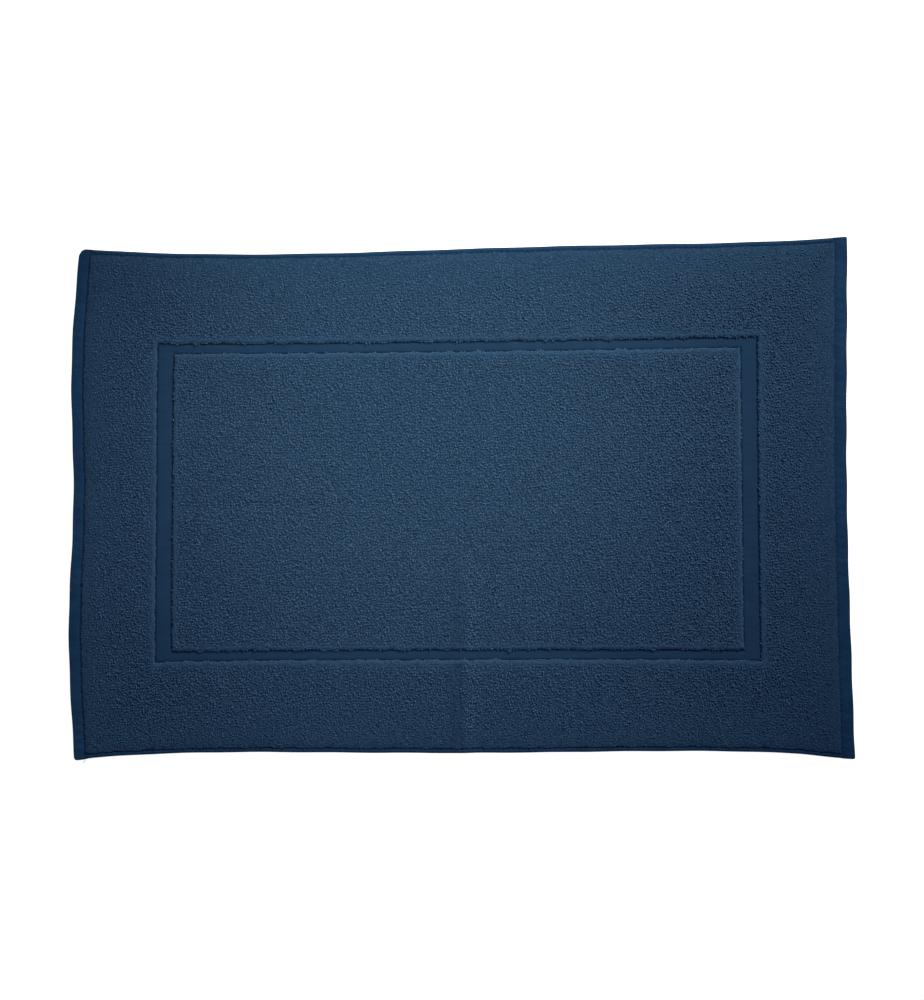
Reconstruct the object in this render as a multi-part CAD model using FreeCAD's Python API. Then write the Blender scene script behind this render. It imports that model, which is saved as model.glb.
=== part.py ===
import FreeCAD, Part
import os

# A terry bath mat lying open on a flat surface, as separate pieces, in millimetres.
# Origin: centre of the mat's footprint, on the surface that the mat lies on.
# +X runs along the mat to its right end, +Y to its rear long side, +Z up.
# The mat folds in half about the crease at x = 0, so every piece that crosses the crease is a
# left piece and a right piece that meet there. The fold's axis lies on top of the pile, along Y.

# Driving dimensions: overall size through the middle, then widths measured in from an edge
MAT_LENGTH = 904.0
MAT_WIDTH = 585.0
END_HEM = 15.0
SIDE_HEM = 6.0
LEFT_BORDER = 100.5
RIGHT_BORDER = 103.5
REAR_BORDER = 107.0
FRONT_BORDER = 109.0
END_BAND = 19.0
SIDE_BAND = 11.0

# Layers, from the surface up: back pile, ground cloth, then the face pile or the woven band
BACK_PILE = 2.6
GROUND_CLOTH = 1.2
FACE_PILE = 3.0
WOVEN_BAND = 0.6
HEM_BOTTOM = 0.4
HEM_TOP = 3.6

# Sewing thread: one strip above and one below each hem, set in from the hem's inner edge
THREAD_WIDTH = 0.5
THREAD_HEIGHT = 0.3
SEAM_INSET = 1.4
END_SEAM_STOP = 2.0
TAIL_RADIUS = 0.25
TAIL_LENGTH = 3.5
TAIL_FROM_CORNER = 14.0
TAIL_Z = 0.8

# Laundered edges aren't straight. Each leaves its straight line by tilt * t + flare * t**4,
# outward, where t runs from -1 to 1 along the edge towards +X or +Y.
EDGE_SHAPES = {
    "rear": (8.0, 8.0),
    "front": (-1.2, 8.8),
    "left": (-3.0, -6.6),
    "right": (-4.5, 2.1),
}
CORNER_RADII = {(-1, 1): 9.0, (-1, -1): 4.0, (1, 1): 2.5, (1, -1): 3.0}

HALF_LENGTH = MAT_LENGTH / 2
HALF_WIDTH = MAT_WIDTH / 2
CLOTH_TOP = BACK_PILE + GROUND_CLOTH
PILE_TOP = CLOTH_TOP + FACE_PILE

# Positions along the mat (u) and across it (v), each from -1 at one edge to 1 at the other
U_HEM = 1 - END_HEM / HALF_LENGTH
U_LEFT_BAND = LEFT_BORDER / HALF_LENGTH - 1
U_RIGHT_BAND = 1 - RIGHT_BORDER / HALF_LENGTH
U_LEFT_PANEL = U_LEFT_BAND + END_BAND / HALF_LENGTH
U_RIGHT_PANEL = U_RIGHT_BAND - END_BAND / HALF_LENGTH
V_HEM = 1 - SIDE_HEM / HALF_WIDTH
V_REAR_BAND = 1 - REAR_BORDER / HALF_WIDTH
V_FRONT_BAND = FRONT_BORDER / HALF_WIDTH - 1
V_REAR_PANEL = V_REAR_BAND - SIDE_BAND / HALF_WIDTH
V_FRONT_PANEL = V_FRONT_BAND + SIDE_BAND / HALF_WIDTH

CURVE_DEGREE = 4
EDGE_SAMPLES = 100


def stray(edge, t):
    """How far an edge lies outside its straight line at t."""
    tilt, flare = EDGE_SHAPES[edge]
    return tilt * t + flare * t**4


def lay_out(u, v):
    """Point of the mat at u, v, before centring. The edges' shapes fade towards the middle."""
    near_right = ((1 + u) / 2) ** 2
    near_left = ((1 - u) / 2) ** 2
    near_rear = ((1 + v) / 2) ** 2
    near_front = ((1 - v) / 2) ** 2
    x = HALF_LENGTH * u + near_right * stray("right", v) - near_left * stray("left", v)
    y = HALF_WIDTH * v + near_rear * stray("rear", u) - near_front * stray("front", u)
    return x, y


def footprint_centre():
    """Middle of the laid-out mat's extremes in X and in Y."""
    steps = [2 * i / EDGE_SAMPLES - 1 for i in range(EDGE_SAMPLES + 1)]
    xs = [lay_out(side, t)[0] for side in (-1, 1) for t in steps]
    ys = [lay_out(t, side)[1] for side in (-1, 1) for t in steps]
    return (min(xs) + max(xs)) / 2, (min(ys) + max(ys)) / 2


CENTRE_X, CENTRE_Y = footprint_centre()


def place(u, v, z):
    """Point of the mat at u, v and height z."""
    x, y = lay_out(u, v)
    return FreeCAD.Vector(x - CENTRE_X, y - CENTRE_Y, z)


def curve(start, end, z):
    """The mat's own curve between two (u, v) positions on one line of the cloth."""
    points = []
    for i in range(CURVE_DEGREE + 1):
        share = i / CURVE_DEGREE
        u = start[0] + share * (end[0] - start[0])
        v = start[1] + share * (end[1] - start[1])
        points.append([place(u, v, z)])
    bezier = Part.BezierCurve()
    bezier.interpolate(points)
    return bezier.toShape()


def patch(u_span, v_span, bottom, top):
    """Solid piece of cloth between two lines across the mat and two lines along it."""
    u0, u1 = u_span
    v0, v1 = v_span
    corners = [(u0, v0), (u1, v0), (u1, v1), (u0, v1)]
    edges = [curve(corners[i], corners[(i + 1) % 4], bottom) for i in range(4)]
    return Part.Face(Part.Wire(edges)).extrude(FreeCAD.Vector(0, 0, top - bottom))


def save(name, shape):
    """Write one sub-part, and stop if it isn't a sound solid."""
    if not shape.isValid() or shape.Volume <= 0:
        raise ValueError(name + " is not a valid solid")
    shape.exportStep("parts/" + name + ".step")


def save_halves(name, shape):
    """Write the left and the right part of a shape that crosses the fold crease."""
    reach = MAT_LENGTH
    depth = 4 * PILE_TOP
    corners = {"left": -reach, "right": 0}
    for side, x in corners.items():
        corner = FreeCAD.Vector(x, -reach / 2, -depth / 2)
        half_space = Part.makeBox(reach, reach, depth, corner)
        half = shape.common(half_space)
        save(side + "_" + name, half.Solids[0])


def ground_cloth():
    """The woven base that every loop is bound into, inside the hems."""
    return patch((-U_HEM, U_HEM), (-V_HEM, V_HEM), BACK_PILE, CLOTH_TOP)


def centre_pile(bottom, top):
    """Loops of the centre panel, on one face of the cloth."""
    return patch((U_LEFT_PANEL, U_RIGHT_PANEL), (V_FRONT_PANEL, V_REAR_PANEL), bottom, top)


def inside_band(bottom, top):
    """Everything within the woven band's outer edge."""
    return patch((U_LEFT_BAND, U_RIGHT_BAND), (V_FRONT_BAND, V_REAR_BAND), bottom, top)


def border_pile(bottom, top):
    """Loops of the border, on one face of the cloth: a ring between the hems and the band."""
    whole = patch((-U_HEM, U_HEM), (-V_HEM, V_HEM), bottom, top)
    return whole.cut(inside_band(bottom, top))


def woven_band():
    """The flat rib-woven rectangle between the border and the centre panel."""
    top = CLOTH_TOP + WOVEN_BAND
    return inside_band(CLOTH_TOP, top).cut(centre_pile(CLOTH_TOP, top))


def end_hem(side):
    """Folded hem at one end. It runs the full width and covers the side hems' ends."""
    span = sorted((side * U_HEM, side))
    hem = patch(span, (-1, 1), HEM_BOTTOM, HEM_TOP)
    for (u, v), radius in CORNER_RADII.items():
        if u != side:
            continue
        corner = place(u, v, (HEM_BOTTOM + HEM_TOP) / 2)
        edge = min(hem.Edges, key=lambda e: e.CenterOfMass.distanceToPoint(corner))
        hem = hem.makeFillet(radius, [edge])
    return hem


def side_hem(side):
    """Narrow rolled hem along one long side, between the two end hems."""
    span = sorted((side * V_HEM, side))
    return patch((-U_HEM, U_HEM), span, HEM_BOTTOM, HEM_TOP)


def end_seam(side, bottom):
    """One thread of an end hem's seam, which stops just short of the long sides."""
    inner = U_HEM + SEAM_INSET / HALF_LENGTH
    outer = inner + THREAD_WIDTH / HALF_LENGTH
    span = sorted((side * inner, side * outer))
    stop = 1 - END_SEAM_STOP / HALF_WIDTH
    return patch(span, (-stop, stop), bottom, bottom + THREAD_HEIGHT)


def side_seam(side, bottom):
    """One thread of a side hem's seam, between the two end hems."""
    inner = V_HEM + SEAM_INSET / HALF_WIDTH
    outer = inner + THREAD_WIDTH / HALF_WIDTH
    span = sorted((side * inner, side * outer))
    return patch((-U_HEM, U_HEM), span, bottom, bottom + THREAD_HEIGHT)


def thread_tail():
    """Loose end of the front seam's thread, near the front left corner, outside the hem."""
    root = place(TAIL_FROM_CORNER / HALF_LENGTH - 1, -1, TAIL_Z)
    root.y -= TAIL_RADIUS
    return Part.makeCylinder(TAIL_RADIUS, TAIL_LENGTH, root, FreeCAD.Vector(-1, -1, 0))


def main():
    os.makedirs("parts", exist_ok=True)
    save_halves("ground_cloth", ground_cloth())
    save_halves("centre_pile", centre_pile(CLOTH_TOP, PILE_TOP))
    save_halves("border_pile", border_pile(CLOTH_TOP, PILE_TOP))
    save_halves("woven_band", woven_band())
    save_halves("centre_back_pile", centre_pile(0, BACK_PILE))
    save_halves("border_back_pile", border_pile(0, BACK_PILE))
    thread_levels = {"needle": HEM_TOP, "bobbin": HEM_BOTTOM - THREAD_HEIGHT}
    for end, side in (("left", -1), ("right", 1)):
        save(end + "_end_hem", end_hem(side))
        for thread, bottom in thread_levels.items():
            save(end + "_end_" + thread + "_thread", end_seam(side, bottom))
    for edge, side in (("rear", 1), ("front", -1)):
        save_halves(edge + "_hem", side_hem(side))
        for thread, bottom in thread_levels.items():
            save_halves(edge + "_" + thread + "_thread", side_seam(side, bottom))
    save("seam_thread_tail", thread_tail())


main()
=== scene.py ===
import math

import bmesh
import bpy
import numpy as np
from mathutils import Matrix, Vector


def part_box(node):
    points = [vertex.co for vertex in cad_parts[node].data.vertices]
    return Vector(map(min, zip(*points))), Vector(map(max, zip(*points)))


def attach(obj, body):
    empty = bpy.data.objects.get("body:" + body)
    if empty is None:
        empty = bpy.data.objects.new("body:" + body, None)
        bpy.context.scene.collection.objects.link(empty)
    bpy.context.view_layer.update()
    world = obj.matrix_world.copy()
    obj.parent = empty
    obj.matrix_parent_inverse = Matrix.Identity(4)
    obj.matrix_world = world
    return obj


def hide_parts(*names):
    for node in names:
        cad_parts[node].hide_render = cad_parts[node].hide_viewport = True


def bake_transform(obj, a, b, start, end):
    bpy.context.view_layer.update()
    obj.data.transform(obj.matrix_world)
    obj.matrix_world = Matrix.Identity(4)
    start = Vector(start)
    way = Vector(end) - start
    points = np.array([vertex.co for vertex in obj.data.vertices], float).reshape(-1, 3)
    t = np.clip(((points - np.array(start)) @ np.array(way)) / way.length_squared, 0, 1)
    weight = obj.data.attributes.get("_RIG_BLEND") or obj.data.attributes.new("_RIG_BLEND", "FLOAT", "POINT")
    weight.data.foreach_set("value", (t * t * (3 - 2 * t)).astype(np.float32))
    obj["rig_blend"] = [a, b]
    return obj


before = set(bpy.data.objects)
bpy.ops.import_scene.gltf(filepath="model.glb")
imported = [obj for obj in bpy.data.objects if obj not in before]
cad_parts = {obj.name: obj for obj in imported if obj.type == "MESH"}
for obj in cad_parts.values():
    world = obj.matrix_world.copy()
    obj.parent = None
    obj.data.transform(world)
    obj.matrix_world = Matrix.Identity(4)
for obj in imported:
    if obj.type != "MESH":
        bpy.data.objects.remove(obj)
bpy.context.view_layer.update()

# A terry bath mat, in metres, lying open on its back pile. +X is its right end, +Y its rear side.
MM = 0.001

# Sizes of the mat, the same as the CAD model's
HALF_LENGTH = 452 * MM
HALF_WIDTH = 292.5 * MM
END_HEM = 15 * MM
SIDE_HEM = 6 * MM
LEFT_BORDER = 100.5 * MM
RIGHT_BORDER = 103.5 * MM
REAR_BORDER = 107 * MM
FRONT_BORDER = 109 * MM
END_BAND = 19 * MM
SIDE_BAND = 11 * MM
BACK_PILE = 2.6 * MM
CLOTH_TOP = 3.8 * MM

# How far each laundered edge strays outward from its straight line: tilt * t + flare * t**4
EDGE_SHAPES = {
    "rear": (8 * MM, 8 * MM),
    "front": (-1.2 * MM, 8.8 * MM),
    "left": (-3 * MM, -6.6 * MM),
    "right": (-4.5 * MM, 2.1 * MM),
}

# Radius of each corner of the hems, at the left or right (-1 or 1) and the front or rear (-1 or 1)
CORNER_RADII = {(-1, 1): 9 * MM, (-1, -1): 4 * MM, (1, 1): 2.5 * MM, (1, -1): 3 * MM}

# Positions along (u) and across (v) the mat, from -1 at one edge to 1 at the other
U_HEM = 1 - END_HEM / HALF_LENGTH
U_LEFT_BAND = LEFT_BORDER / HALF_LENGTH - 1
U_RIGHT_BAND = 1 - RIGHT_BORDER / HALF_LENGTH
U_LEFT_PANEL = U_LEFT_BAND + END_BAND / HALF_LENGTH
U_RIGHT_PANEL = U_RIGHT_BAND - END_BAND / HALF_LENGTH
V_HEM = 1 - SIDE_HEM / HALF_WIDTH
V_REAR_BAND = 1 - REAR_BORDER / HALF_WIDTH
V_FRONT_BAND = FRONT_BORDER / HALF_WIDTH - 1
V_REAR_PANEL = V_REAR_BAND - SIDE_BAND / HALF_WIDTH
V_FRONT_PANEL = V_FRONT_BAND + SIDE_BAND / HALF_WIDTH

# Rectangles in u, v, as (low u, high u, low v, high v)
INSIDE_HEMS = (-U_HEM, U_HEM, -V_HEM, V_HEM)
BAND = (U_LEFT_BAND, U_RIGHT_BAND, V_FRONT_BAND, V_REAR_BAND)
PANEL = (U_LEFT_PANEL, U_RIGHT_PANEL, V_FRONT_PANEL, V_REAR_PANEL)

# Terry loops: pitch, yarn radius, and the span, height and root of each. Real ones stand about
# 2 mm apart. These are coarser, so that they show, and so that there aren't too many.
LOOP_PITCH = 3.15 * MM
LOOP_YARN = 0.72 * MM
LOOP_SPAN = 2.5 * MM
LOOP_HEIGHT = 4.4 * MM
LOOP_ROOT = 4.1 * MM
BACK_LOOP_PITCH = 5.6 * MM
BACK_LOOP_SCALE = 0.56
BACK_LOOP_ROOT = BACK_PILE - 0.3 * MM
# how far they stray, as a share of the pitch, how far they lean, as a slope, and how their
# height varies with the pile's unevenness and along the crease
JITTER = 0.27
LEAN = 0.38
NAP_HEIGHT = 0.22 * MM
CREASE_HEIGHT = 0.5 * MM

# The bed that the loops' lower parts make together: its height, skin and rounded edge
BED_TOP = 5.9 * MM
BED_SKIN = 0.4 * MM
BED_ROUND = 1.6 * MM
BED_OVERHANG = 0.7 * MM
BACK_BED_DEPTH = 1.5 * MM
# share of its height that the border's bed loses at the hems, and how far in that reaches
HEM_SINK = 0.75
HEM_SINK_REACH = 4 * MM

# The rims of the pile beside the woven band, where loops crowd and lean over, and where the
# yarn is lightened for its worn dye and as a painted highlight
RIM_TOP = 7.6 * MM
RIM_WIDTH = 5 * MM
RIM_DROP = 2.2 * MM
RIM_SLOPE = 3.8 * MM
RIM_INSET = 1.9 * MM
RIM_REACH = 3.8 * MM
RIM_LEAN = 0.5
RIM_WEAR_AND_HIGHLIGHT = 0.13

# The woven band
BAND_THICKNESS = 0.3 * MM
BAND_SINK = 0.1 * MM
BAND_DOME = 0.4 * MM
BAND_PUCKER = 0.06 * MM
BAND_PUCKERS = 190

# Where the mat bends when it is folded in half
FOLD_AXIS_Z = 7.1 * MM
FOLD_REACH = 6.5 * MM

# Sewing: stitch length, thread, the seam's place in from the hem's edge, and where its needle and
# bobbin threads lie on the cloth
STITCH = 6 * MM
THREAD_RADIUS = 0.32 * MM
TAIL_RADIUS = 0.25 * MM
SEAM_INSET = 1.4 * MM
NEEDLE_HEIGHT = 3.45 * MM
BOBBIN_HEIGHT = 0.5 * MM
HEM_THICKNESS = 1.0 * MM
HEM_STEP = 1.5 * MM

# The stage: half the floor's side, the lamps' radius, and the camera with its lens in millimetres
FLOOR_REACH = 6
LAMP_RADIUS = 0.16
SENSOR_WIDTH = 36
LENS = 87.0
CAMERA_AT = (1.2 * MM, -1.2 * MM, 2600 * MM)


# ---------------------------------------------------------------- the shape of the cloth


def stray(edge, t):
    """How far an edge lies outside its straight line at t, from -1 to 1 along it."""
    tilt, flare = EDGE_SHAPES[edge]
    return tilt * t + flare * t**4


def lay_out(u, v):
    """Point of the mat at u, v before centring; numbers or arrays."""
    near_right = ((1 + u) / 2) ** 2
    near_left = ((1 - u) / 2) ** 2
    near_rear = ((1 + v) / 2) ** 2
    near_front = ((1 - v) / 2) ** 2
    x = HALF_LENGTH * u + near_right * stray("right", v) - near_left * stray("left", v)
    y = HALF_WIDTH * v + near_rear * stray("rear", u) - near_front * stray("front", u)
    return x, y


def footprint_centre():
    """Middle of the laid-out mat's extremes in X and in Y."""
    steps = np.linspace(-1, 1, 101)
    xs = np.concatenate([lay_out(side, steps)[0] for side in (-1, 1)])
    ys = np.concatenate([lay_out(steps, side)[1] for side in (-1, 1)])
    return (xs.min() + xs.max()) / 2, (ys.min() + ys.max()) / 2


CENTRE_X, CENTRE_Y = footprint_centre()


def bump(distance, width):
    """Smooth hump, 1 in the middle and falling to nothing a few widths away."""
    return np.exp(-((distance / width) ** 2))


def step(value, start, end):
    """Smooth step from 0 at start to 1 at end."""
    share = np.clip((value - start) / (end - start), 0, 1)
    return share * share * (3 - 2 * share)


def lift(x, y):
    """How far the cloth lies above the floor: soft waves, storage creases and easy corners."""
    waves = (
        0.55 * np.sin(x * 21 + 1.3) * np.sin(y * 27 + 0.4)
        + 0.35 * np.sin(x * 47 - y * 31)
        + 0.25 * np.sin(x * 13 + y * 61 + 2.1)
    )
    calm = 0.25 + 0.75 * step(np.abs(x), 10 * MM, 180 * MM)
    # the ridge of the half fold, in the front half only, dying out in a dent near the middle
    ridge = 2.6 * MM * step(-y, 30 * MM, 150 * MM) * bump(x - 3 * MM, 11 * MM)
    dent = -1.6 * MM * bump(np.hypot(x - 1 * MM, y + 54 * MM), 12 * MM)
    # the round wrinkle that runs on from the dent, and the faint valley of the quarter fold
    radius = np.hypot(x - 5 * MM, y - 15 * MM)
    turned = np.arctan2(y - 15 * MM, x - 5 * MM)
    wrinkled = step(1.0 - np.abs(turned + 0.4), -0.4, 0.3)
    wrinkle = -0.9 * MM * bump(radius - 68 * MM, 6 * MM) * wrinkled
    reach = step(-x, 60 * MM, 110 * MM) * step(x, -345 * MM, -300 * MM)
    valley = -0.8 * MM * bump(y + 9 * MM, 5 * MM) * reach
    side_valley = -0.8 * MM * bump(x - 134 * MM, 5 * MM) * step(-y, 190 * MM, 230 * MM)
    corner = 2.5 * MM * np.clip(np.abs(x) / HALF_LENGTH, 0, 1) ** 8
    corner = corner * np.clip(np.abs(y) / HALF_WIDTH, 0, 1) ** 6
    creases = ridge + dent + wrinkle + valley + side_valley
    return np.maximum((waves + 1.0) * 0.7 * MM * calm + 0.8 * MM + creases + corner, 0.35 * MM)


def rounded_corners(u, v):
    """u and v with the four corners rounded off: each corner's square is drawn in to a disc."""
    from_side = (1 - np.abs(u)) * HALF_LENGTH
    from_edge = (1 - np.abs(v)) * HALF_WIDTH
    for (right, rear), radius in CORNER_RADII.items():
        a = np.clip(1 - from_side / radius, 0, None)
        b = np.clip(1 - from_edge / radius, 0, None)
        inside = (np.sign(u) == right) & (np.sign(v) == rear) & (a > 0) & (b > 0)
        shrink = np.where(inside, np.maximum(a, b) / np.maximum(np.hypot(a, b), 1e-9), 1)
        u = np.where(inside, np.sign(u) * (1 - (1 - a * shrink) * radius / HALF_LENGTH), u)
        v = np.where(inside, np.sign(v) * (1 - (1 - b * shrink) * radius / HALF_WIDTH), v)
    return u, v


def drawn(x, y):
    """How far sewing and laundering have drawn each edge out of its even curve: left, right, rear
    and front, as X for the ends and Y for the long sides."""
    left = 1.4 + 1.5 * np.cos(22 * y) + 1.0 * np.cos(12.5 * y) + 0.3 * np.sin(y * 88)
    right = 1.2 - 1.3 * np.cos(12.6 * y) + 0.3 * np.sin(y * 97)
    rear = 0.8 + 2 * np.cos(8.4 * (x - 149 * MM)) + 0.2 * np.sin(x * 61)
    front = 1.6 - 1.6 * np.cos(8.7 * x) + 0.2 * np.sin(x * 74)
    front = front - 2.2 * step(x, 390 * MM, 440 * MM) - 0.8 * step(-x, 430 * MM, 445 * MM)
    return left * MM, right * MM, rear * MM, front * MM


def place(u, v):
    """The mat's own curved X and Y at u, v, with the height that its surface is lifted by."""
    u, v = rounded_corners(np.asarray(u, dtype=float), np.asarray(v, dtype=float))
    x, y = lay_out(u, v)
    x = x - CENTRE_X
    y = y - CENTRE_Y
    left, right, rear, front = drawn(x, y)
    x = x + u**8 * np.where(u < 0, left, right)
    y = y + v**8 * np.where(v < 0, front, rear)
    return x, y, lift(x, y)


def wander(x, y):
    """x and y of pile that isn't combed quite straight along the woven band."""
    dx = 0.4 * np.sin(y * 290 + 1.5 * np.sin(y * 61)) + 0.3 * np.sin(y * 610 + x * 40)
    dy = 0.5 * np.sin(x * 310 + 1.5 * np.sin(x * 47)) + 0.3 * np.sin(x * 560 + y * 40)
    dy = dy + 0.6 * np.sin(x * 120 + 2 * np.sin(x * 31) + y * 25) ** 3
    return x + dx * MM, y + dy * MM


# ---------------------------------------------------------------- mesh helpers


def new_piece(name, mesh):
    """Object of a finished mesh, at the origin."""
    mesh.name = name
    piece = bpy.data.objects.new(name, mesh)
    bpy.context.scene.collection.objects.link(piece)
    return piece


def finish_bmesh(bm, name, smooth=True, closed=True):
    """Mesh of a bmesh. A closed one's faces are turned outward; a sheet's already point up."""
    bmesh.ops.remove_doubles(bm, verts=bm.verts, dist=0.01 * MM)
    if closed:
        bmesh.ops.recalc_face_normals(bm, faces=bm.faces)
    mesh = bpy.data.meshes.new(name)
    bm.to_mesh(mesh)
    bm.free()
    if smooth:
        mesh.shade_smooth()
    return mesh


def applied(piece):
    """The piece with its modifiers applied to its mesh."""
    graph = bpy.context.evaluated_depsgraph_get()
    mesh = bpy.data.meshes.new_from_object(piece.evaluated_get(graph), depsgraph=graph)
    piece.modifiers.clear()
    piece.data = mesh
    mesh.name = piece.name
    return piece


def thicken(piece, thickness, offset=0):
    """Gives a surface the cloth's thickness, and closes it round its rim."""
    solid = piece.modifiers.new("thickness", "SOLIDIFY")
    solid.thickness = thickness
    solid.offset = offset
    return applied(piece)


def shaped_grid(columns, rows, shape):
    """Grid of columns by rows cells. shape takes arrays of the vertices' column and row numbers,
    and gives arrays of their X, Y and Z, and of their yarn's wear and painted highlight if it has
    any."""
    bm = bmesh.new()
    tone = bm.verts.layers.float.new("yarn_tone")
    bmesh.ops.create_grid(bm, x_segments=columns, y_segments=rows, size=1)
    at = np.array([vert.co[:2] for vert in bm.verts])
    i = np.rint((at[:, 0] + 1) / 2 * columns).astype(int)
    j = np.rint((at[:, 1] + 1) / 2 * rows).astype(int)
    x, y, z, *wear_and_highlight = shape(i, j)
    for vert, point in zip(bm.verts, np.stack([x, y, z], 1).tolist()):
        vert.co = point
    if wear_and_highlight:
        for vert, amount in zip(bm.verts, wear_and_highlight[0].tolist()):
            vert[tone] = amount
    return bm


def between(low, high, share):
    return low + (high - low) * share


def spaced_for_fold(low, high, count):
    """Positions from low to high that crowd together round 0, where the mat bends."""
    even = np.linspace(-1, 1, count + 1)
    crowded = np.sign(even) * np.abs(even) ** 1.6
    return np.where(crowded < 0, -crowded * low, crowded * high)


def with_rims(low, high, middle, scale):
    """Positions from low to high: close together at both ends, where an edge is rounded. scale is
    the length in metres of one unit of position."""
    rim = np.array([0, 0.1, 0.4, 1.0, 1.8, 3.0, 4.8, 7.0, 9.5]) * MM / scale
    clear = 12 * MM / scale
    inner = middle[(middle > low + clear) & (middle < high - clear)]
    return np.concatenate([low + rim, inner, high - rim[::-1]])


# ---------------------------------------------------------------- ground cloth, band and pile beds


def sheet_of(name, us, vs, thickness, offset, surface):
    """Sheet of cloth over the positions us by vs, each point where surface(u, v, x, y, z) says."""

    def shape(i, j):
        x, y, z = place(us[i], vs[j])
        return surface(us[i], vs[j], x, y, z)

    mesh = finish_bmesh(shaped_grid(len(us) - 1, len(vs) - 1, shape), name, closed=False)
    return thicken(new_piece(name, mesh), thickness, offset)


def ground_cloth():
    """The woven base of the whole mat inside its hems."""
    middle = (BACK_PILE + CLOTH_TOP) / 2
    us = spaced_for_fold(-U_HEM, U_HEM, 110)
    vs = np.linspace(-V_HEM, V_HEM, 71)
    return sheet_of(
        "ground_cloth", us, vs, CLOTH_TOP - BACK_PILE, 0, lambda u, v, x, y, z: (x, y, z + middle)
    )


def ring(name, outer, inner, along, across, surface, thickness, offset):
    """Closed strip of cloth between two rectangles in u, v, mitred at its corners. across lists
    shares t from 0 at the outer rectangle to 1 at the inner, share goes from 0 to 1 once round,
    and surface(t, share, x, y, z) gives each point."""
    corners = ((0, 2), (1, 2), (1, 3), (0, 3), (0, 2))
    rims = [np.array([(box[k], box[n]) for k, n in corners]) for box in (outer, inner)]
    across = np.array(across)

    def shape(i, j):
        side = np.minimum(i * 4 // along, 3)
        share = i * 4 / along - side
        swing = 2 * share - 1
        crowded = 0.5 + 0.5 * np.sign(swing) * np.abs(swing) ** 1.3
        share = np.where(side % 2 == 0, crowded, share)[:, None]
        t = across[j]
        start, end = (between(rims[0][k], rims[1][k], t[:, None]) for k in (side, side + 1))
        u, v = between(start, end, share).T
        x, y, z = place(u, v)
        return surface(t, i / along, x, y, z)

    mesh = finish_bmesh(shaped_grid(along, len(across) - 1, shape), name, closed=False)
    return thicken(new_piece(name, mesh), thickness, offset)


def grown(box, amount):
    """A rectangle in u, v made larger by amount on every side."""
    u0, u1, v0, v1 = box
    du = amount / HALF_LENGTH
    dv = amount / HALF_WIDTH
    return u0 - du, u1 + du, v0 - dv, v1 + dv


def woven_band():
    """The flat rib-woven frame: slightly domed between the two pile walls, with faint puckers."""

    def surface(t, share, x, y, z):
        dome = BAND_DOME * np.abs(np.sin(math.pi * t)) ** 0.5
        pucker = BAND_PUCKER * np.sin(share * 2 * math.pi * BAND_PUCKERS + 3 * t)
        return x, y, z + CLOTH_TOP - BAND_SINK + dome + pucker

    across = [0, 0.07, 0.14, 0.3, 0.5, 0.7, 0.86, 0.93, 1]
    outer = grown(BAND, -0.5 * MM)
    inner = grown(PANEL, 0.4 * MM)
    return ring("woven_band", outer, inner, 960, across, surface, BAND_THICKNESS, -1)


def shoulder(distance):
    """Share of its full height that a pile's rounded edge has at a distance in from the edge."""
    inward = np.clip(distance / BED_ROUND, 0, 1)
    return np.sqrt(1 - (1 - inward) ** 2)


def rim_share(distance):
    """1 at an open rim of the pile, where loops crowd together, falling to nothing further in."""
    return 1 - step(distance, BED_ROUND, BED_ROUND + RIM_WIDTH)


def rim_drop(distance):
    """How far the pile's soft shoulder has sunk at a distance in from an open rim."""
    return RIM_DROP * np.exp(-np.clip(distance, 0, None) / RIM_SLOPE)


def pile_beds():
    """The beds that the loops' lower parts make, on the face and on the back: one in the panel,
    and one round it in the border."""
    beds = []
    panel = grown(PANEL, -BED_OVERHANG)
    outer = INSIDE_HEMS
    inner = grown(BAND, BED_OVERHANG)
    width = (inner[0] - outer[0]) * HALF_LENGTH
    across = with_rims(0, 1, np.linspace(0, 1, 10), width)
    # face or back, start of the names, steps round the border, and columns and rows in the panel
    kinds = ((1, "", 800, 120, 52), (-1, "back_", 480, 80, 26))
    for face, side_name, along, columns, rows in kinds:
        us = with_rims(*panel[:2], spaced_for_fold(*panel[:2], columns), HALF_LENGTH)
        vs = with_rims(*panel[2:], np.linspace(*panel[2:], rows), HALF_WIDTH)
        low = CLOTH_TOP if face > 0 else BACK_PILE
        depth = BED_TOP - CLOTH_TOP if face > 0 else BACK_BED_DEPTH

        def panel_surface(u, v, x, y, z):
            du = np.minimum(u - panel[0], panel[1] - u) * HALF_LENGTH
            dv = np.minimum(v - panel[2], panel[3] - v) * HALF_WIDTH
            x, y = wander(x, y)
            inward = np.minimum(du, dv)
            rim = rim_share(inward) * (face > 0)
            top = depth + rim * (RIM_TOP - BED_TOP - rim_drop(inward))
            # At the rim the yarn's tone is lightened for its wear and as a painted highlight
            return x, y, z + low + face * top * shoulder(du) * shoulder(dv), rim * RIM_WEAR_AND_HIGHLIGHT

        def border_surface(t, share, x, y, z):
            x, y = wander(x, y)
            inward = (1 - t) * width
            rim = rim_share(inward) * (face > 0)
            top = depth + rim * (RIM_TOP - BED_TOP - rim_drop(inward))
            top = top - HEM_SINK * depth * np.exp(-t * width / HEM_SINK_REACH)
            edge = np.minimum(t * width + 1.2 * MM, inward)
            # At the rim the yarn's tone is lightened for its wear and as a painted highlight
            return x, y, z + low + face * top * shoulder(edge), rim * RIM_WEAR_AND_HIGHLIGHT

        name = side_name + "centre_pile_bed"
        beds.append(sheet_of(name, us, vs, BED_SKIN, -face, panel_surface))
        name = side_name + "border_pile_bed"
        beds.append(ring(name, outer, inner, along, across, border_surface, BED_SKIN, -face))
    return beds


# ---------------------------------------------------------------- terry loops


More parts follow.
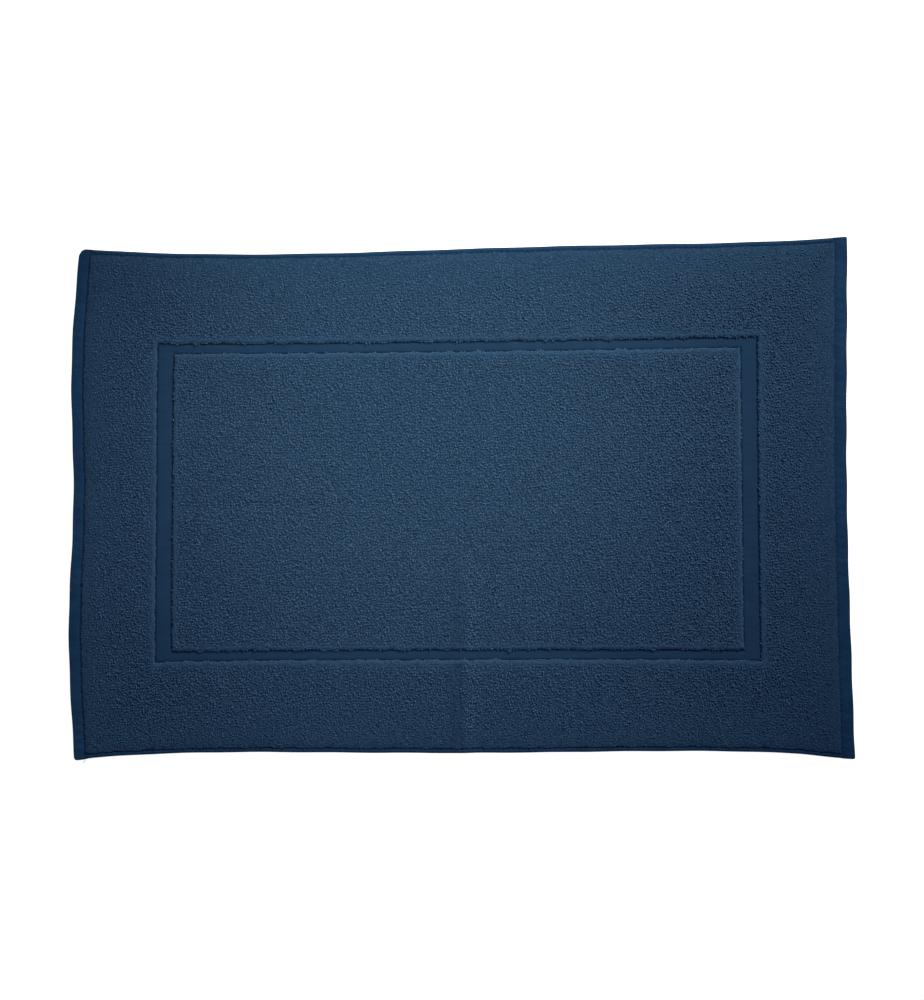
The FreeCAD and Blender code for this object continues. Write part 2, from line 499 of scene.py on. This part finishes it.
def loop_template(sides, steps, twist, pinch):
    """One terry loop: a soft yarn that rises from the cloth, arches over and goes back in."""
    bm = bmesh.new()
    side = bm.verts.layers.float.new("side")
    turn = bm.verts.layers.float.new("turn")
    foot = bmesh.ops.create_circle(bm, segments=sides, radius=LOOP_YARN)["verts"]
    for k, vert in enumerate(foot):
        vert[side] = k
    bmesh.ops.translate(bm, verts=foot, vec=(LOOP_SPAN / 2, 0, 0))
    bmesh.ops.spin(
        bm,
        geom=bm.verts[:] + bm.edges[:],
        cent=(0, 0, 0),
        axis=(0, -1, 0),
        angle=math.pi,
        steps=steps,
    )
    for vert in bm.verts:
        centre_angle = math.atan2(vert.co.z, vert.co.x)
        vert[turn] = round(centre_angle / math.pi * steps) / steps
    bmesh.ops.holes_fill(bm, edges=bm.edges, sides=sides)
    top = LOOP_SPAN / 2 + LOOP_YARN
    for vert in bm.verts:
        rise = max(vert.co.z / top, 0)
        narrow = pinch + (1 - pinch) * math.sqrt(rise)
        swing = Matrix.Rotation(twist * rise, 3, "Z")
        vert.co = swing @ Vector((vert.co.x * narrow, vert.co.y, rise * LOOP_HEIGHT))
    bmesh.ops.recalc_face_normals(bm, faces=bm.faces)
    return bm


def template_arrays(bm):
    """A template's points, faces, yarn position and bake-map corners as arrays."""
    side = bm.verts.layers.float["side"]
    turn = bm.verts.layers.float["turn"]
    sides = int(max(vert[side] for vert in bm.verts)) + 1
    points = np.array([vert.co[:] for vert in bm.verts])
    turns = np.array([vert[turn] for vert in bm.verts])
    faces = []
    corners = []
    bm.verts.index_update()
    for face in bm.faces:
        faces.append([vert.index for vert in face.verts])
        ks = [vert[side] for vert in face.verts]
        wraps = max(ks) - min(ks) > 1.5 and len({vert[turn] for vert in face.verts}) > 1
        for vert, k in zip(face.verts, ks):
            corners.append((vert[turn], (sides if wraps and k == 0 else k) / sides))
    return points, turns, faces, np.array(corners)


def loop_places(field, pitch, rng, rims):
    """Jittered staggered rows of loop roots that fill a rectangle in u, v. rims says of each side
    whether it is an open edge of the pile or a join with more of it."""
    u0, u1, v0, v1 = field
    insets = [RIM_INSET if rim else 0.5 * pitch for rim in rims]
    us = (u0 + insets[0] / HALF_LENGTH, u1 - insets[1] / HALF_LENGTH)
    vs = (v0 + insets[2] / HALF_WIDTH, v1 - insets[3] / HALF_WIDTH)
    columns = 1 + round((us[1] - us[0]) * HALF_LENGTH / pitch)
    rows = 1 + round((vs[1] - vs[0]) * HALF_WIDTH / pitch)
    u, v = np.meshgrid(np.linspace(*us, columns), np.linspace(*vs, rows))
    jitter = rng.uniform(-JITTER, JITTER, (2, rows, columns)) * pitch
    stagger = 0.25 * pitch * np.where(np.arange(rows) % 2, 1, -1)[:, None]
    u = np.clip(u + (jitter[0] + stagger) / HALF_LENGTH, *us)
    v = np.clip(v + jitter[1] / HALF_WIDTH, *vs)
    return u.ravel(), v.ravel()


def pull_to_rims(u, v):
    """How strongly loops at u, v lean over the nearest wall of pile beside the woven band, as an
    X, Y vector: about 1 long at a wall, fading over a few millimetres in from it."""

    def near(distance):
        return np.exp(-np.abs(distance) / RIM_REACH)

    def inside(box):
        u0, u1, v0, v1 = box
        x = near((u1 - u) * HALF_LENGTH) - near((u - u0) * HALF_LENGTH)
        y = near((v1 - v) * HALF_WIDTH) - near((v - v0) * HALF_WIDTH)
        return x, y

    u0, u1, v0, v1 = PANEL
    in_panel = (u > u0) & (u < u1) & (v > v0) & (v < v1)
    panel_x, panel_y = inside(PANEL)
    u0, u1, v0, v1 = BAND
    gap_x = np.where(u > u1, u1 - u, np.where(u < u0, u0 - u, 0)) * HALF_LENGTH
    gap_y = np.where(v > v1, v1 - v, np.where(v < v0, v0 - v, 0)) * HALF_WIDTH
    gap = np.maximum(np.hypot(gap_x, gap_y), 1e-6)
    border_x = near(gap) * gap_x / gap
    border_y = near(gap) * gap_y / gap
    return np.where(in_panel, panel_x, border_x), np.where(in_panel, panel_y, border_y)


def held_down(u, v):
    """How much lower the pile lies near a hem, whose seam holds it down."""
    inward = np.minimum((U_HEM - np.abs(u)) * HALF_LENGTH, (V_HEM - np.abs(v)) * HALF_WIDTH)
    inward = np.abs(inward)
    return 2.2 * MM * np.exp(-inward / (4 * MM)) + 1.25 * MM * np.exp(-inward / (38 * MM))


def nap(x, y):
    """Slow unevenness of the pile, from -1 to 1: patches that washing left fuller or flatter."""
    a = np.sin(x * 410 + 2.2 * np.sin(y * 173)) * np.sin(y * 330 + 1.9 * np.sin(x * 121 + 1))
    b = np.sin(x * 233 + y * 91 + 1.4 * np.sin(y * 260)) * np.sin(y * 157 - x * 60 + 2)
    c = np.sin(x * 690 + 1.2 * np.sin(y * 83)) * 0.6
    return np.clip(0.6 * a + 0.5 * b + 0.4 * c, -1, 1)


def parting(x, y):
    """How the half fold has left the pile along its crease in the front half: laid over and sunk
    on its left, from -1, and standing up on its right, to 1. The loops' tone follows it as painted
    shade on the left and painted light on the right."""
    sides = 0.45 * bump(x - 12 * MM, 9 * MM) - bump(x + 5 * MM, 8 * MM)
    return sides * step(-y, 40 * MM, 170 * MM)


def loop_field(name, fields, templates, pitch, face, seed):
    """Fields of loops as one mesh. face is 1 for the face of the mat and -1 for its back."""
    rng = np.random.default_rng(seed)
    spots = [loop_places(field, pitch, rng, rims) for field, rims in fields]
    u = np.concatenate([spot[0] for spot in spots])
    v = np.concatenate([spot[1] for spot in spots])
    x, y, z = place(u, v)
    x, y = wander(x, y)
    pull_x, pull_y = pull_to_rims(u, v)
    count = len(u)
    heading = rng.uniform(0, 2 * math.pi, count)
    lean_way = rng.uniform(0, 2 * math.pi, count)
    lean_size = rng.uniform(0, LEAN, count)
    size = rng.uniform(0.85, 1.15, count)
    tall = rng.uniform(0.9, 1.05, count)
    kind = rng.integers(0, len(templates), count)
    tone = rng.random(count)
    scale = 1.0 if face > 0 else BACK_LOOP_SCALE
    root = LOOP_ROOT if face > 0 else BACK_LOOP_ROOT
    # At the rims the loops' tone is lightened for the yarn's wear and as a painted highlight
    at_rim = np.minimum(np.hypot(pull_x, pull_y), 1)
    at_hem = held_down(u, v)
    shade = nap(x, y)
    # The crease shifts the loops' tone too: painted shade on its left side, painted light on its right
    creased = parting(x, y)
    tone = np.clip(0.15 + 0.4 * tone + 0.12 * shade + RIM_WEAR_AND_HIGHLIGHT * at_rim + 0.55 * creased, 0, 1)
    uneven = NAP_HEIGHT * shade + CREASE_HEIGHT * creased
    z = z + root + face * (uneven - RIM_DROP * at_rim - at_hem)
    lean_x = np.cos(lean_way) * lean_size + RIM_LEAN * pull_x
    lean_y = np.sin(lean_way) * lean_size + RIM_LEAN * pull_y
    cells = math.ceil(math.sqrt(count))
    parts = {"points": [], "starts": [], "corners": [], "uv": [], "turn": [], "tone": []}
    vertex_start = 0
    for k, (points, turns, faces, corner_uv) in enumerate(templates):
        chosen = np.flatnonzero(kind == k)
        c = np.cos(heading[chosen])[:, None]
        s = np.sin(heading[chosen])[:, None]
        px = points[:, 0] * size[chosen, None] * pitch / LOOP_PITCH
        py = points[:, 1] * size[chosen, None] * pitch / LOOP_PITCH
        pz = points[:, 2] * tall[chosen, None] * scale
        wx = x[chosen, None] + c * px - s * py + lean_x[chosen, None] * pz
        wy = y[chosen, None] + s * px + c * py + lean_y[chosen, None] * pz
        wz = z[chosen, None] + face * pz
        parts["points"].append(np.stack([wx, wy, wz], 2).reshape(-1, 3))
        parts["turn"].append(np.tile(1 - np.abs(2 * turns - 1), len(chosen)))
        parts["tone"].append(np.repeat(tone[chosen], len(points)))
        flat = np.concatenate([f if face > 0 else f[::-1] for f in faces])
        sizes = np.array([len(f) for f in faces])
        shift = vertex_start + len(points) * np.arange(len(chosen))
        parts["corners"].append((flat[None] + shift[:, None]).ravel())
        parts["starts"].append(np.tile(sizes, len(chosen)))
        order = corner_uv
        if face < 0:
            cut = np.split(np.arange(len(corner_uv)), np.cumsum(sizes)[:-1])
            order = corner_uv[np.concatenate([part[::-1] for part in cut])]
        cell = np.stack([chosen % cells, chosen // cells], 1)[:, None, :]
        parts["uv"].append(((cell + 0.08 + 0.84 * order[None]) / cells).reshape(-1, 2))
        vertex_start += len(points) * len(chosen)
    joined = {key: np.concatenate(value) for key, value in parts.items()}
    return new_piece(name, mesh_from_arrays(name, joined))


def mesh_from_arrays(name, arrays):
    """One mesh of many repeated loops, with its bake map and its yarn attributes."""
    mesh = bpy.data.meshes.new(name)
    sizes = arrays["starts"]
    mesh.vertices.add(len(arrays["points"]))
    mesh.vertices.foreach_set("co", arrays["points"].astype(np.float32).ravel())
    mesh.loops.add(len(arrays["corners"]))
    mesh.loops.foreach_set("vertex_index", arrays["corners"].astype(np.int32))
    mesh.polygons.add(len(sizes))
    starts = np.concatenate([[0], np.cumsum(sizes)[:-1]])
    mesh.polygons.foreach_set("loop_start", starts.astype(np.int32))
    bake_map = mesh.uv_layers.new(name="OFBake")
    bake_map.data.foreach_set("uv", arrays["uv"].astype(np.float32).ravel())
    for key in ("turn", "tone"):
        attribute = mesh.attributes.new("yarn_" + key, "FLOAT", "POINT")
        attribute.data.foreach_set("value", arrays[key].astype(np.float32))
    mesh.update(calc_edges=True)
    mesh.validate()
    mesh.shade_smooth()
    return mesh


# ---------------------------------------------------------------- hems and stitching


def arc(centre, radius, start, end, steps):
    """Points of a circular arc, without its first point."""
    points = []
    for k in range(1, steps + 1):
        angle = math.radians(between(start, end, k / steps))
        points.append((centre[0] + radius * math.cos(angle), centre[1] + radius * math.sin(angle)))
    return points


def fold_path(width, crown):
    """Middle line of the cloth through a double-turned hem, as (distance out, height) points:
    over the top, round the outer fold, back under, and up into the turned-in raw edge."""
    top = 3.05 * MM
    bottom = 0.95 * MM
    fold = 0.65 * MM
    outer = width - fold - HEM_THICKNESS / 2
    tuck = 0.52 * MM
    tops = [-1.0 * MM, 0.2 * MM, 0.9 * MM, SEAM_INSET, 2.3 * MM]
    count = max(2, round((outer - 2.3 * MM) / (2 * MM)))
    tops += [between(2.3 * MM, outer, k / count) for k in range(1, count + 1)]
    path = []
    for a in tops:
        share = max(0, min(1, (a - SEAM_INSET) / (outer - SEAM_INSET)))
        swell = crown * math.sin(math.pi * share)
        path.append((a, between(top, bottom + 2 * fold, share) + swell))
    path += arc((outer, bottom + fold), fold, 90, -90, 5)
    inner = 1.0 * MM
    path += [(between(outer, inner, k / 3), bottom) for k in (1, 2, 3)]
    path += arc((inner, bottom + tuck), tuck, 270, 90, 3)
    raw_edge = between(inner, outer, 0.42)
    path += [(between(inner, raw_edge, k / 2), bottom + 2 * tuck) for k in (1, 2)]
    return path, len(tops)


def seam_dip(a, s):
    """Depth that the stitches pull the cloth down to at distance a from the hem's inner edge."""
    hole = (0.5 + 0.5 * np.cos(2 * math.pi * s / STITCH)) ** 2
    return bump(a - SEAM_INSET, 1.2 * MM) * (0.05 * MM + 1.3 * MM * hole)


def hem_ripple(a, s, width, amount):
    """Ladder-like puckers between the seam and the outer fold."""
    share = np.clip((a - SEAM_INSET) / (width - SEAM_INSET), 0, 1)
    wide = np.sin(2 * math.pi * s / (11.5 * MM) + 1.7 * np.sin(s / (37 * MM)))
    fine = np.sin(2 * math.pi * s / STITCH + 2.5 * share)
    strength = 0.7 + 0.6 * np.sin(s / (53 * MM) + 1.2) * np.sin(s / (21 * MM))
    across = np.sin(math.pi * np.minimum(1, share * 1.15))
    return amount * strength * across * (0.75 * wide + 0.35 * fine)


def hem(name, width, length, spot, crown, ripple):
    """Double-turned hem. spot(a, share) gives X, Y and lift at distance a out from its inner edge,
    share of the way along it; crown is how far its top swells, and ripple how deep it puckers."""
    path, top_count = fold_path(width, crown)
    path = np.array(path)
    rows = round(length / HEM_STEP)

    def shape(i, j):
        a, z = path[i].T
        s = j / rows * length
        x, y, lifted = spot(a, j / rows)
        on_top = hem_ripple(a, s, width, ripple) - seam_dip(a, s)
        return x, y, z + lifted + np.where(i < top_count + 2, on_top, 0)

    mesh = finish_bmesh(shaped_grid(len(path) - 1, rows, shape), name)
    return thicken(new_piece(name, mesh), HEM_THICKNESS)


def seam_thread(name, length, spot, height, side):
    """Lock stitches as one thread on the cloth's top (1) or underside (-1), which dips into it
    between stitches."""
    per_stitch = 5
    rows = round(length / STITCH) * per_stitch
    sides = 5

    def shape(i, j):
        share = between(0.004, 0.996, j / rows)
        x, y, lifted = spot(SEAM_INSET, share)
        x2, y2, _ = spot(SEAM_INSET + 1 * MM, share)
        reach = np.hypot(x2 - x, y2 - y)
        phase = np.abs(np.sin(math.pi * j / per_stitch))
        bow = between(-0.9 * MM, 0.1 * MM, phase**0.5)
        angle = 2 * math.pi * i / sides
        out = THREAD_RADIUS * np.cos(angle) / reach
        z = height + side * (bow + THREAD_RADIUS * np.sin(angle))
        return x + (x2 - x) * out, y + (y2 - y) * out, lifted + z

    bm = shaped_grid(sides, rows, shape)
    bmesh.ops.remove_doubles(bm, verts=bm.verts, dist=0.01 * MM)
    bmesh.ops.holes_fill(bm, edges=bm.edges, sides=sides)
    return new_piece(name, finish_bmesh(bm, name))


def end_spot(side):
    """Places on the left (-1) or right (1) end hem."""

    def spot(a, share):
        u = side * (U_HEM + a / HALF_LENGTH)
        return place(u, between(-1, 1, share))

    return spot


def side_spot(side):
    """Places on the front (-1) or rear (1) side hem, between the end hems."""

    def spot(a, share):
        v = side * (V_HEM + a / HALF_WIDTH)
        return place(between(-U_HEM, U_HEM, share), v)

    return spot


def thread_tail():
    """The short loose end of the front seam's thread."""
    low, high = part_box("seam_thread_tail")
    curve = bpy.data.curves.new("thread_tail", "CURVE")
    curve.dimensions = "3D"
    curve.bevel_depth = TAIL_RADIUS
    curve.bevel_resolution = 1
    curve.use_fill_caps = True
    spline = curve.splines.new("NURBS")
    route = [(0.9, 1.25, 0.9), (0.75, 0.8, 0.5), (0.35, 0.6, 0.35), (0.05, 0.1, 0.3)]
    spline.points.add(len(route) - 1)
    for point, shares in zip(spline.points, route):
        place_at = [between(low[n], high[n], shares[n]) for n in range(3)]
        point.co = (*place_at, 1)
    spline.order_u = 3
    spline.use_endpoint_u = True
    holder = bpy.data.objects.new("tail_curve", curve)
    bpy.context.scene.collection.objects.link(holder)
    graph = bpy.context.evaluated_depsgraph_get()
    mesh = bpy.data.meshes.new_from_object(holder.evaluated_get(graph), depsgraph=graph)
    bpy.data.objects.remove(holder)
    return new_piece("loose_thread_tail", mesh)


# ---------------------------------------------------------------- materials

# The navy of the terry yarn: at its roots, darkened as painted shade deep in the pile, and where
# it takes the dye more or less deeply
YARN_SHADED_ROOT = "#132b45"
YARN_DARK = "#234362"
YARN_LIGHT = "#436b94"

# Bluish sheens of the fuzzy pile and of the smoother woven cloth
PILE_SHEEN = "#a3bbd8"
WOVEN_SHEEN = "#6f9ccc"

# Fuzz on the yarn, and patches of dye in a metre of woven cloth
FUZZ_GRAIN = 0.5 * MM
DYE_PATCHES = 60.0

# Ridges of the hems and ground cloth, of the woven band and of the thread, and the distance from
# band to band of a wave texture of scale 1
WEAVE_RIDGE = 7.54 * MM
BAND_RIDGE = 10.05 * MM
THREAD_RIDGE = 5.03 * MM
WAVE_PERIOD = math.tau / 20


def linear(hex_colour):
    """Linear RGBA of an sRGB hex colour."""
    channels = [int(hex_colour[k : k + 2], 16) / 255 for k in (1, 3, 5)]
    made = [c / 12.92 if c <= 0.04045 else ((c + 0.055) / 1.055) ** 2.4 for c in channels]
    return (*made, 1)


def add_node(tree, kind, settings=None, inputs=None):
    """Adds a node. settings are its own properties; inputs are values or sockets to link from."""
    node = tree.nodes.new(kind)
    for key, value in (settings or {}).items():
        setattr(node, key, value)
    for key, value in (inputs or {}).items():
        if isinstance(value, bpy.types.NodeSocket):
            tree.links.new(value, node.inputs[key])
        else:
            node.inputs[key].default_value = value
    return node


def new_material(name, roughness, sheen, tint):
    """Material with a Principled shader for a matt surface, such as cotton. Its sheen and what it
    reflects have the same tint."""
    material = bpy.data.materials.new(name)
    material.use_nodes = True
    tree = material.node_tree
    shader = tree.nodes["Principled BSDF"]
    shader.inputs["Roughness"].default_value = roughness
    shader.inputs["IOR"].default_value = 1.5
    shader.inputs["Specular IOR Level"].default_value = 0.1
    shader.inputs["Sheen Weight"].default_value = sheen
    shader.inputs["Sheen Roughness"].default_value = 0.6
    shader.inputs["Sheen Tint"].default_value = linear(tint)
    shader.inputs["Specular Tint"].default_value = linear(tint)
    return material, tree, shader


def mixed_colour(tree, factor, low, high):
    """Colour output that runs from one hex colour to another with factor."""
    ramp = add_node(tree, "ShaderNodeMix", {"data_type": "RGBA"}, {"Factor": factor})
    ramp.inputs["A"].default_value = linear(low)
    ramp.inputs["B"].default_value = linear(high)
    return ramp.outputs["Result"]


def terry_yarn():
    """Cotton terry loop yarn, dyed navy: matt and fuzzy, each loop taking the dye a little
    differently, and darker at its roots than where it arches over, which is painted shade deep
    in the pile."""
    material, tree, shader = new_material("terry_cotton_yarn", 0.95, 0.3, PILE_SHEEN)
    tone = add_node(tree, "ShaderNodeAttribute", {"attribute_name": "yarn_tone"})
    turn = add_node(tree, "ShaderNodeAttribute", {"attribute_name": "yarn_turn"})
    place_of = add_node(tree, "ShaderNodeTexCoord").outputs["Object"]
    fuzz = add_node(
        tree,
        "ShaderNodeTexNoise",
        {},
        {"Vector": place_of, "Scale": 1 / FUZZ_GRAIN, "Detail": 2.0},
    )
    tip = mixed_colour(tree, tone.outputs["Fac"], YARN_DARK, YARN_LIGHT)
    # The loops' feet are darker than their arches: painted shade deep in the pile
    root = mixed_colour(tree, tone.outputs["Fac"], YARN_SHADED_ROOT, YARN_DARK)
    rise = add_node(
        tree,
        "ShaderNodeMapRange",
        {},
        {"Value": turn.outputs["Fac"], "From Min": 0.1, "From Max": 0.8},
    )
    body = add_node(tree, "ShaderNodeMix", {"data_type": "RGBA"}, {"Factor": rise.outputs[0]})
    tree.links.new(root, body.inputs["A"])
    tree.links.new(tip, body.inputs["B"])
    tree.links.new(body.outputs["Result"], shader.inputs["Base Color"])
    relief = add_node(
        tree,
        "ShaderNodeBump",
        {},
        {"Strength": 0.3, "Distance": 0.15 * MM, "Height": fuzz.outputs[0]},
    )
    tree.links.new(relief.outputs["Normal"], shader.inputs["Normal"])
    return material


def terry_bed():
    """The same yarn deep in the pile, where the loops' lower parts crowd together: lumps of about
    the loops' pitch, with painted shade darkening the gaps between them, and paler at the rims for
    the yarn's wear and as a painted highlight."""
    material, tree, shader = new_material("terry_cotton_pile_depth", 0.95, 0.25, PILE_SHEEN)
    place_of = add_node(tree, "ShaderNodeTexCoord").outputs["Object"]
    lumps = add_node(
        tree,
        "ShaderNodeTexVoronoi",
        {},
        {"Vector": place_of, "Scale": 1 / LOOP_PITCH, "Randomness": 0.9},
    )
    tone = add_node(tree, "ShaderNodeAttribute", {"attribute_name": "yarn_tone"})
    # The gaps between the lumps are darker: painted shade
    deep = mixed_colour(tree, lumps.outputs["Distance"], YARN_DARK, YARN_SHADED_ROOT)
    # The paler colour at the rims: the yarn's wear and a painted highlight
    worn_and_lit = mixed_colour(tree, lumps.outputs["Distance"], YARN_LIGHT, YARN_DARK)
    body = add_node(tree, "ShaderNodeMix", {"data_type": "RGBA"}, {"Factor": tone.outputs["Fac"]})
    tree.links.new(deep, body.inputs["A"])
    tree.links.new(worn_and_lit, body.inputs["B"])
    tree.links.new(body.outputs["Result"], shader.inputs["Base Color"])
    relief = add_node(
        tree,
        "ShaderNodeBump",
        {"invert": True},
        {"Strength": 0.6, "Distance": 0.8 * MM, "Height": lumps.outputs["Distance"]},
    )
    tree.links.new(relief.outputs["Normal"], shader.inputs["Normal"])
    return material


def woven_cotton(name, low, high, ridge, axis):
    """Flat-woven dyed cotton: matt, with slow dye variation between two colours. Its real threads
    are about 0.5 mm apart, too fine to show, so it has faint ridges a few millimetres apart across
    one axis, such as groups of threads make."""
    material, tree, shader = new_material(name, 0.85, 0.15, WOVEN_SHEEN)
    place_of = add_node(tree, "ShaderNodeTexCoord").outputs["Object"]
    patch = add_node(
        tree,
        "ShaderNodeTexNoise",
        {},
        {"Vector": place_of, "Scale": DYE_PATCHES, "Detail": 4.0},
    )
    colour = mixed_colour(tree, patch.outputs["Fac"], low, high)
    tree.links.new(colour, shader.inputs["Base Color"])
    wave = add_node(
        tree,
        "ShaderNodeTexWave",
        {"bands_direction": axis},
        {"Vector": place_of, "Scale": WAVE_PERIOD / ridge, "Distortion": 1.5, "Detail": 2.0},
    )
    relief = add_node(
        tree,
        "ShaderNodeBump",
        {},
        {"Strength": 0.5, "Distance": 0.15 * MM, "Height": wave.outputs[0]},
    )
    tree.links.new(relief.outputs["Normal"], shader.inputs["Normal"])
    return material


def floor_material():
    """Plain white floor: matt paint that also glows, so that it is an even white all over."""
    material, _, shader = new_material("white_table_paint", 0.9, 0.0, "#ffffff")
    shader.inputs["Base Color"].default_value = linear("#f0f0f0")
    shader.inputs["Emission Color"].default_value = linear("#fffcf6")
    shader.inputs["Emission Strength"].default_value = 0.9
    return material


# ---------------------------------------------------------------- building the mat

# Each field of face loops: its rectangle in u, v, and which of its sides (low u, high u, low v,
# high v) are open edges of the pile
QUARTERS = {
    "left_rear": ((U_LEFT_PANEL, 0, 0, V_REAR_PANEL), (True, False, False, True)),
    "left_front": ((U_LEFT_PANEL, 0, V_FRONT_PANEL, 0), (True, False, True, False)),
    "right_rear": ((0, U_RIGHT_PANEL, 0, V_REAR_PANEL), (False, True, False, True)),
    "right_front": ((0, U_RIGHT_PANEL, V_FRONT_PANEL, 0), (False, True, True, False)),
}


def border_fields(side):
    """The border's fields on the left (-1) or right (1) half: its end, in three, its rear and its
    front. The end's middle stretch faces the woven band."""
    band = BAND[0] if side < 0 else BAND[1]
    outer = sorted((side * U_HEM, band))
    middle = sorted((band, 0))
    at_hem = (side < 0, side > 0)
    ends = [
        ((*outer, -V_HEM, V_FRONT_BAND), (*at_hem, True, False)),
        ((*outer, V_FRONT_BAND, V_REAR_BAND), (True, True, False, False)),
        ((*outer, V_REAR_BAND, V_HEM), (*at_hem, False, True)),
    ]
    rear = ((*middle, V_REAR_BAND, V_HEM), (False, False, True, True))
    front = ((*middle, -V_HEM, V_FRONT_BAND), (False, False, True, True))
    return ends, [rear, front]


def finish_piece(piece, material, nodes, body=None):
    """Gives a piece its material, its CAD nodes and its body or bodies."""
    piece.data.materials.clear()
    piece.data.materials.append(material)
    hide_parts(*nodes)
    if body:
        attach(piece, body)
    else:
        start = (-FOLD_REACH, 0, FOLD_AXIS_Z)
        end = (FOLD_REACH, 0, FOLD_AXIS_Z)
        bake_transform(piece, "left_half", "right_half", start=start, end=end)
    return piece


def both(node):
    """The left and right CAD nodes of a piece that crosses the crease."""
    return "left_" + node, "right_" + node


def build_pile(yarn, bed_yarn):
    """The pile of both faces: its beds, and fields of terry loops that stand out of them."""
    made = []
    for bed in pile_beds():
        node = bed.name.replace("_bed", "")
        if node.startswith("back_"):
            node = node.replace("back_", "").replace("_pile", "_back_pile")
        made.append(finish_piece(bed, bed_yarn, both(node)))
    face_loops = []
    for twist, pinch in ((0.5, 0.75), (-0.6, 0.6), (0.2, 0.85)):
        face_loops.append(template_arrays(loop_template(3, 4, twist, pinch)))
    back_loops = [template_arrays(loop_template(3, 3, 0.4, 0.7))]
    for k, (quarter, field) in enumerate(QUARTERS.items()):
        name = "centre_loops_" + quarter
        piece = loop_field(name, [field], face_loops, LOOP_PITCH, 1, 10 + k)
        node = quarter.split("_")[0] + "_centre_pile"
        made.append(finish_piece(piece, yarn, [node]))
    for side, half in ((-1, "left"), (1, "right")):
        ends, sides = border_fields(side)
        node = half + "_border_pile"
        name = "border_loops_" + half
        piece = loop_field(name + "_end", ends, face_loops, LOOP_PITCH, 1, 20 + side)
        made.append(finish_piece(piece, yarn, [node], half + "_half"))
        piece = loop_field(name + "_sides", sides, face_loops, LOOP_PITCH, 1, 30 + side)
        made.append(finish_piece(piece, yarn, [node]))
        span = (PANEL[0], 0) if side < 0 else (0, PANEL[1])
        panel = ((*span, V_FRONT_PANEL, V_REAR_PANEL), (side < 0, side > 0, True, True))
        name = "back_centre_loops_" + half
        piece = loop_field(name, [panel], back_loops, BACK_LOOP_PITCH, -1, 40 + side)
        made.append(finish_piece(piece, yarn, [half + "_centre_back_pile"]))
        name = "back_border_loops_" + half
        piece = loop_field(name, ends + sides, back_loops, BACK_LOOP_PITCH, -1, 50 + side)
        made.append(finish_piece(piece, yarn, [half + "_border_back_pile"]))
    return made


def build_hems(cloth, thread):
    """The four hems with the needle and bobbin thread of each seam."""
    made = []
    threads = (("needle", NEEDLE_HEIGHT, 1), ("bobbin", BOBBIN_HEIGHT, -1))
    length = 2 * HALF_WIDTH
    for side, half in ((-1, "left"), (1, "right")):
        spot = end_spot(side)
        piece = hem("end_hem_" + half, END_HEM, length, spot, 0.3 * MM, 0.4 * MM)
        made.append(finish_piece(piece, cloth, [half + "_end_hem"], half + "_half"))
        for kind, z, way in threads:
            node = half + "_end_" + kind + "_thread"
            piece = seam_thread("end_" + kind + "_thread_" + half, length, spot, z, way)
            made.append(finish_piece(piece, thread, [node], half + "_half"))
    length = 2 * HALF_LENGTH * U_HEM
    for side, edge in ((-1, "front"), (1, "rear")):
        spot = side_spot(side)
        piece = hem(edge + "_hem", SIDE_HEM, length, spot, 1.0 * MM, 0.2 * MM)
        made.append(finish_piece(piece, cloth, both(edge + "_hem")))
        for kind, z, way in threads:
            node = edge + "_" + kind + "_thread"
            piece = seam_thread(node, length, spot, z, way)
            made.append(finish_piece(piece, thread, both(node)))
    return made


def build_stage():
    """White floor, even light all round, a soft lamp high at the rear right and one overhead, and
    the camera above the middle of the mat."""
    bm = bmesh.new()
    bmesh.ops.create_grid(bm, x_segments=1, y_segments=1, size=FLOOR_REACH)
    floor = new_piece("floor", finish_bmesh(bm, "floor", smooth=False, closed=False))
    floor.data.materials.append(floor_material())
    scene = bpy.context.scene
    scene.view_settings.view_transform = "Standard"
    world = bpy.data.worlds.new("studio")
    world.use_nodes = True
    world.node_tree.nodes["Background"].inputs["Color"].default_value = linear("#c6ddff")
    world.node_tree.nodes["Background"].inputs["Strength"].default_value = 0.25
    scene.world = world
    lamps = (
        # name, where from, aim on the floor, power in watts, cone in degrees
        ("key", (990 * MM, 1700 * MM, 1330 * MM), (-30 * MM, 45 * MM), 290, 38),
        ("overhead", (-60 * MM, 290 * MM, 2400 * MM), (-60 * MM, 90 * MM), 150, 20.5),
    )
    for name, from_where, aim, power, cone in lamps:
        data = bpy.data.lights.new(name, "SPOT")
        data.energy = power
        data.color = linear("#fff0dc")[:3]
        data.spot_size = math.radians(cone)
        data.spot_blend = 1
        data.shadow_soft_size = LAMP_RADIUS
        lamp = bpy.data.objects.new(name, data)
        lamp.location = from_where
        way = Vector(from_where) - Vector((*aim, 0))
        lamp.rotation_euler = way.to_track_quat("Z", "Y").to_euler()
        scene.collection.objects.link(lamp)
    data = bpy.data.cameras.new("camera")
    data.sensor_fit = "HORIZONTAL"
    data.sensor_width = SENSOR_WIDTH
    data.lens = LENS
    camera = bpy.data.objects.new("camera", data)
    camera.location = CAMERA_AT
    scene.collection.objects.link(camera)
    scene.camera = camera


def main():
    build_stage()
    hem_cloth = woven_cotton("hem_plain_weave", "#112b48", "#1e3f62", WEAVE_RIDGE, "X")
    # The ground cloth is darker than the band: where it shows along the band's edges it is painted shade of
    # the crevice at the pile's foot
    base_cloth = woven_cotton("ground_plain_weave", "#0b1f35", "#0f273f", WEAVE_RIDGE, "X")
    band_cloth = woven_cotton("rib_woven_band", "#172f49", "#1d3856", BAND_RIDGE, "Y")
    thread = woven_cotton("spun_sewing_thread", "#0f2740", "#163452", THREAD_RIDGE, "Y")
    cloth = finish_piece(ground_cloth(), base_cloth, both("ground_cloth"))
    band = finish_piece(woven_band(), band_cloth, both("woven_band"))
    pile = build_pile(terry_yarn(), terry_bed())
    hems = build_hems(hem_cloth, thread)
    tail = finish_piece(
        thread_tail(), thread, ["seam_thread_tail"], "left_half"
    )


main()
